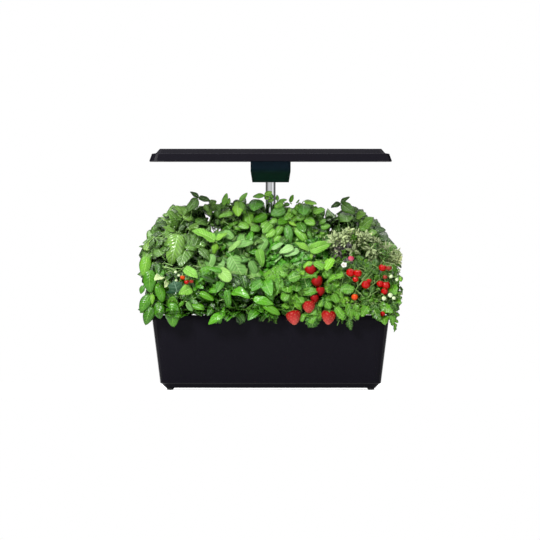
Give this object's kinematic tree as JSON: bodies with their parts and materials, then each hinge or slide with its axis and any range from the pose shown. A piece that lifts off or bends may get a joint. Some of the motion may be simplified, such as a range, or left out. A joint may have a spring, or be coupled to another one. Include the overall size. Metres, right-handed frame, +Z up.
{
  "type": "countertop hydroponic garden",
  "caption": "Countertop hydroponic planter: black water tank with a planting deck, herbs and fruit in net baskets, and a flat grow lamp on a sliding, turning mast.",
  "frame": {"origin": "on the table, under the middle of the tank", "axes": "+X to the right as seen from the front, +Y to the back, +Z up"},
  "size_m": [0.4096, 0.2582, 0.3791],
  "materials": {
    "shell_black": "smooth satin black",
    "inner_black": "matt black",
    "basket_plastic": "matt black",
    "rubber_black": "soft matt",
    "chrome": "polished",
    "brass": "plain",
    "board_white": "matt white",
    "diffuser_sheet": "frosted",
    "button_grey": "soft matt",
    "float_red": "matt red",
    "strawberry_red": "waxy",
    "tomato_red": "glossy",
    "leaf_basil": "waxy green",
    "leaf_dark_basil": "waxy dark green",
    "leaf_pepper": "waxy green",
    "leaf_mint": "soft green",
    "leaf_balm": "soft pale green",
    "leaf_sage": "felted grey green",
    "leaf_strawberry": "soft lime green",
    "leaf_tomato": "soft green"
  },
  "bodies": {
    "reservoir": {"tank": "shell_black", "foot_front_left": "rubber_black", "foot_front_right": "rubber_black", "foot_back_left": "rubber_black", "foot_back_right": "rubber_black"},
    "planter": {"deck": "shell_black", "mast_base": "shell_black", "power_inlet": "inner_black", "filler_flap_pin": "chrome", "float_cage": "basket_plastic", "pump_housing": "inner_black", "pump_intake_cover": "inner_black", "pump_riser": "inner_black", "strawberry_truss": "strawberry_red", "strawberry_cluster": "strawberry_red", "tomato_truss_left": "tomato_red", "tomato_truss_right": "tomato_red", "net_basket_01": "basket_plastic", "plant_01_basil": "leaf_basil", "net_basket_02": "basket_plastic", "plant_02_pepper": "leaf_pepper", "net_basket_03": "basket_plastic", "plant_03_strawberry": "leaf_strawberry", "net_basket_04": "basket_plastic", "plant_04_tomato": "leaf_tomato", "net_basket_05": "basket_plastic", "plant_05_darkBasil": "leaf_dark_basil", "net_basket_06": "basket_plastic", "plant_06_balm": "leaf_balm", "net_basket_07": "basket_plastic", "plant_07_mint": "leaf_mint", "net_basket_08": "basket_plastic", "plant_08_sage": "leaf_sage", "net_basket_09": "basket_plastic", "plant_09_darkBasil": "leaf_dark_basil", "net_basket_10": "basket_plastic", "plant_10_basil": "leaf_basil", "net_basket_11": "basket_plastic", "plant_11_basil": "leaf_basil", "net_basket_12": "basket_plastic", "plant_12_darkBasil": "leaf_dark_basil", "mast_lower_tube": "chrome"},
    "lamp": {"mast_upper_tube": "chrome", "neck_housing": "shell_black", "neck_rear_cover": "shell_black", "neck_screw_left": "brass", "neck_screw_right": "brass", "lamp_shell": "shell_black", "lamp_frame": "shell_black", "lamp_diffuser": "diffuser_sheet", "led_board": "board_white", "control_panel": "inner_black", "control_board": "board_white"},
    "flap": {"filler_flap": "shell_black"},
    "float": {"level_float": "float_red"},
    "rotor": {"pump_impeller": "board_white"},
    "collar": {"mast_collar": "shell_black"},
    "power_key": {"power_button": "button_grey"},
    "mode_key": {"mode_button": "button_grey"},
    "pump_key": {"pump_button": "button_grey"}
  },
  "joints": [
    {"name": "deck_lift", "type": "slide", "parent": "reservoir", "child": "planter", "axis": [0, 0, 1], "range_m": [0, 0.12]},
    {"name": "mast_turn", "type": "hinge", "parent": "planter", "child": "collar", "pos_m": [0, 0.068, 0.26], "axis": [0, 0, 1], "range_deg": [-90, 90]},
    {"name": "mast_slide", "type": "slide", "parent": "collar", "child": "lamp", "axis": [0, 0, 1], "range_m": [-0.008, 0.08]},
    {"name": "filler_flap_open", "type": "hinge", "parent": "planter", "child": "flap", "pos_m": [0.092, 0.0692, 0.1185], "axis": [1, 0, 0], "range_deg": [0, 100]},
    {"name": "float_rise", "type": "slide", "parent": "planter", "child": "float", "axis": [0, 0, 1], "range_m": [0, 0.02]},
    {"name": "rotor_spin", "type": "hinge", "parent": "planter", "child": "rotor", "pos_m": [0, 0.04, 0.0323], "axis": [0, 1, 0], "continuous": true},
    {"name": "power_press", "type": "slide", "parent": "lamp", "child": "power_key", "axis": [0, 0, -1], "range_m": [0, 0.001], "stiffness_N_per_m": 300},
    {"name": "mode_press", "type": "slide", "parent": "lamp", "child": "mode_key", "axis": [0, 0, -1], "range_m": [0, 0.001], "stiffness_N_per_m": 300},
    {"name": "pump_press", "type": "slide", "parent": "lamp", "child": "pump_key", "axis": [0, 0, -1], "range_m": [0, 0.001], "stiffness_N_per_m": 300}
  ]
}
